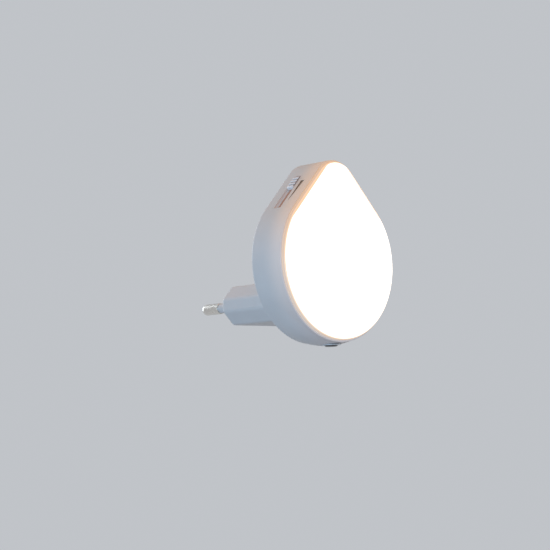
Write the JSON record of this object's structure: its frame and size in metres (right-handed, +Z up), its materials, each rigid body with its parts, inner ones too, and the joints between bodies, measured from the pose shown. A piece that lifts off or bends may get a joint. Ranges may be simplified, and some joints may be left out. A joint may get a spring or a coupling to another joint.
{
  "type": "plug-in night light",
  "caption": "Drop-shaped plug-in night light with a glowing opal front, a sliding brightness control on its flank, a light sensor underneath and a two-pin mains plug at the back.",
  "frame": {"origin": "middle of the plug's engagement face, between the two pins", "axes": "+Z up, +Y into the wall along the plug, the glowing front faces -Y, +X to the right seen from the front"},
  "size_m": [0.055, 0.0605, 0.0642],
  "materials": {
    "white_plastic": "satin, finely textured moulding",
    "opal_diffuser": "smooth opal",
    "smoky_window": "polished, smoky",
    "black_rubber": "matte",
    "black_plastic": "matte",
    "zinc_screws": "zinc plated",
    "nickel_pins": "nickel plated, turned",
    "pin_sleeves": "satin",
    "brass_strips": "stamped",
    "green_board": "solder mask",
    "white_board": "white solder mask",
    "led_bodies": "moulded, with a phosphor window",
    "capacitor_yellow": "moulded box",
    "capacitor_can": "shrink sleeve",
    "resistor_body": "lacquer",
    "steel_can": "tinned",
    "brown_track": "phenolic board"
  },
  "bodies": {
    "lamp": {"housing_shell": "white_plastic", "rear_cover": "white_plastic", "front_diffuser": "opal_diffuser", "sensor_bezel": "white_plastic", "sensor_window": "smoky_window", "sensor_tube": "black_rubber", "light_sensor": "black_plastic", "cover_screws": "zinc_screws", "board_screws": "zinc_screws", "plug_pin_left": "nickel_pins", "plug_pin_right": "nickel_pins", "pin_sleeve_left": "pin_sleeves", "pin_sleeve_right": "pin_sleeves", "pin_retainer": "white_plastic", "contact_strip_left": "brass_strips", "contact_strip_right": "brass_strips", "driver_board": "green_board", "led_board": "white_board", "leds": "led_bodies", "film_capacitor": "capacitor_yellow", "smoothing_capacitor": "capacitor_can", "bridge_rectifier": "black_plastic", "driver_chip": "black_plastic", "fuse_resistor": "resistor_body", "current_resistors": "black_plastic", "link_block": "black_plastic", "link_pins": "brass_strips", "dimmer_body": "steel_can", "dimmer_track": "brown_track", "dimmer_terminals": "steel_can"},
    "slider": {"slider_knob": "white_plastic", "dimmer_carriage": "black_plastic", "dimmer_wiper": "brass_strips"}
  },
  "joints": [
    {"name": "brightness_slide", "type": "slide", "parent": "lamp", "child": "slider", "axis": [-0.682, 0, -0.7314], "range_m": [0, 0.0089]}
  ]
}
